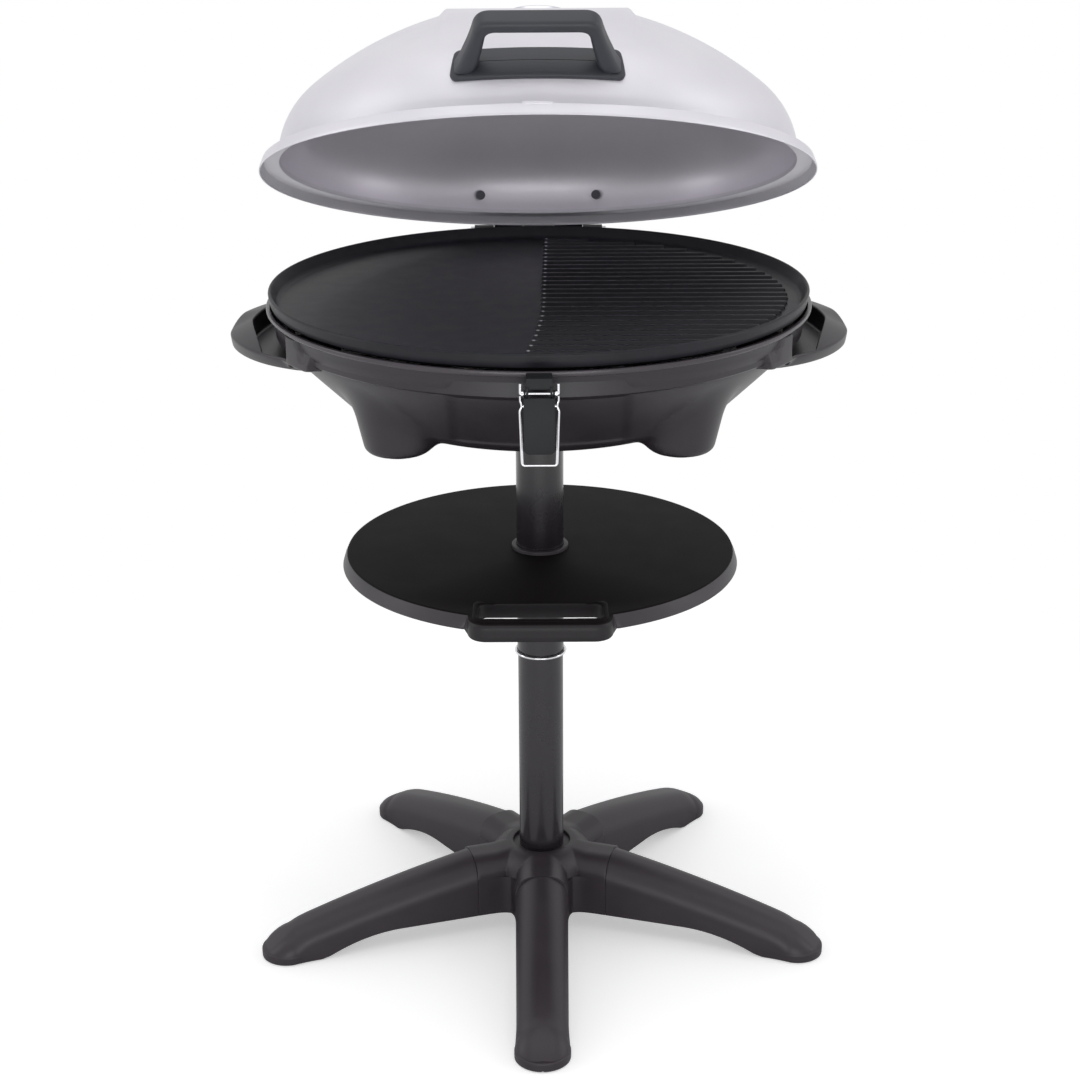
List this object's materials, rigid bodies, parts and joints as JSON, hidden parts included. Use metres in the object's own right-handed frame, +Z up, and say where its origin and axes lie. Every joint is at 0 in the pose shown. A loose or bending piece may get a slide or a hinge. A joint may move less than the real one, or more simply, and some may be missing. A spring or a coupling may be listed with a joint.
{
  "type": "electric pedestal grill with hinged lid",
  "caption": "Round electric indoor grill with a ribbed plate, hinged domed lid, front wire latch and carrying handles, on a column with a shelf tray and splayed legs.",
  "frame": {"origin": "on the floor under the axis of the column", "axes": "+Z up, -Y towards the front with the latch and the lid's handle, +X to the right of someone who looks at the front from behind the camera, so the lid hinges at +Y"},
  "size_m": [0.5174, 0.5257, 0.8413],
  "materials": {
    "base_plastic": "fine satin moulded plastic",
    "rubber": "soft matt rubber",
    "column_paint": "satin powder coat",
    "chrome": "polished chrome plate",
    "tray_plastic": "satin moulded plastic",
    "bowl_plastic": "fine satin moulded plastic",
    "nonstick": "cast metal with a dark non-stick coating",
    "lid_metal": "satin spun metal",
    "handle_plastic": "matt heat-proof plastic",
    "steel": "plated steel",
    "black_metal": "black painted steel",
    "vent_metal": "satin metal disc",
    "element_metal": "heat-dulled steel sheath",
    "ceramic": "glazed ceramic stand-off",
    "inlet_plastic": "black moulded plastic"
  },
  "bodies": {
    "stand": {"hub": "base_plastic", "leg_front": "base_plastic", "leg_right": "base_plastic", "leg_rear_right": "base_plastic", "leg_rear_left": "base_plastic", "leg_left": "base_plastic", "foot_pads": "rubber", "leg_screws": "steel", "lower_column": "column_paint", "hub_plug": "steel", "hub_bolt": "steel", "joint_spigot": "steel", "ring_clip": "chrome", "upper_column": "column_paint", "column_cap": "base_plastic", "tray_support": "base_plastic", "support_screw": "steel"},
    "tray": {"tray": "tray_plastic", "tray_bush": "tray_plastic"},
    "grill": {"bowl": "bowl_plastic", "stub_pads": "rubber", "stand_socket": "bowl_plastic", "socket_screws": "steel", "reflector_pan": "steel", "heating_element": "element_metal", "element_clips": "steel", "grill_plate": "nonstick", "plate_posts": "ceramic", "inlet_housing": "inlet_plastic", "inlet_pins": "steel", "hinge_bracket": "black_metal", "hinge_screws": "steel", "hinge_pin": "steel", "latch_bracket": "black_metal", "latch_pin": "chrome"},
    "lid": {"lid_shell": "lid_metal", "lid_handle": "handle_plastic", "handle_screws": "steel", "hinge_leaf": "black_metal", "leaf_screws": "steel", "vent_rivet": "steel"},
    "vent": {"vent_disc": "vent_metal"},
    "lever": {"latch_lever": "black_metal"},
    "bail": {"latch_bail": "chrome"}
  },
  "joints": [
    {"name": "tray_swivel", "type": "hinge", "parent": "stand", "child": "tray", "pos_m": [0, 0, 0.356], "axis": [0, 0, 1], "continuous": true},
    {"name": "head_lift", "type": "slide", "parent": "stand", "child": "grill", "axis": [0, 0, 1], "range_m": [0, 0.05]},
    {"name": "lid_hinge", "type": "hinge", "parent": "grill", "child": "lid", "pos_m": [0, 0.2475, 0.5865], "axis": [-1, 0, 0], "range_deg": [-22, 73]},
    {"name": "vent_turn", "type": "hinge", "parent": "lid", "child": "vent", "pos_m": [0, 0.06844, 0.80401], "axis": [0, 0.3746, 0.9272], "range_deg": [-30, 30]},
    {"name": "latch_swing", "type": "hinge", "parent": "grill", "child": "lever", "pos_m": [0, -0.2395, 0.571], "axis": [-1, 0, 0], "range_deg": [0, 50]},
    {"name": "bail_swing", "type": "hinge", "parent": "lever", "child": "bail", "pos_m": [0, -0.2395, 0.5614], "axis": [-1, 0, 0], "range_deg": [0, 135]}
  ]
}
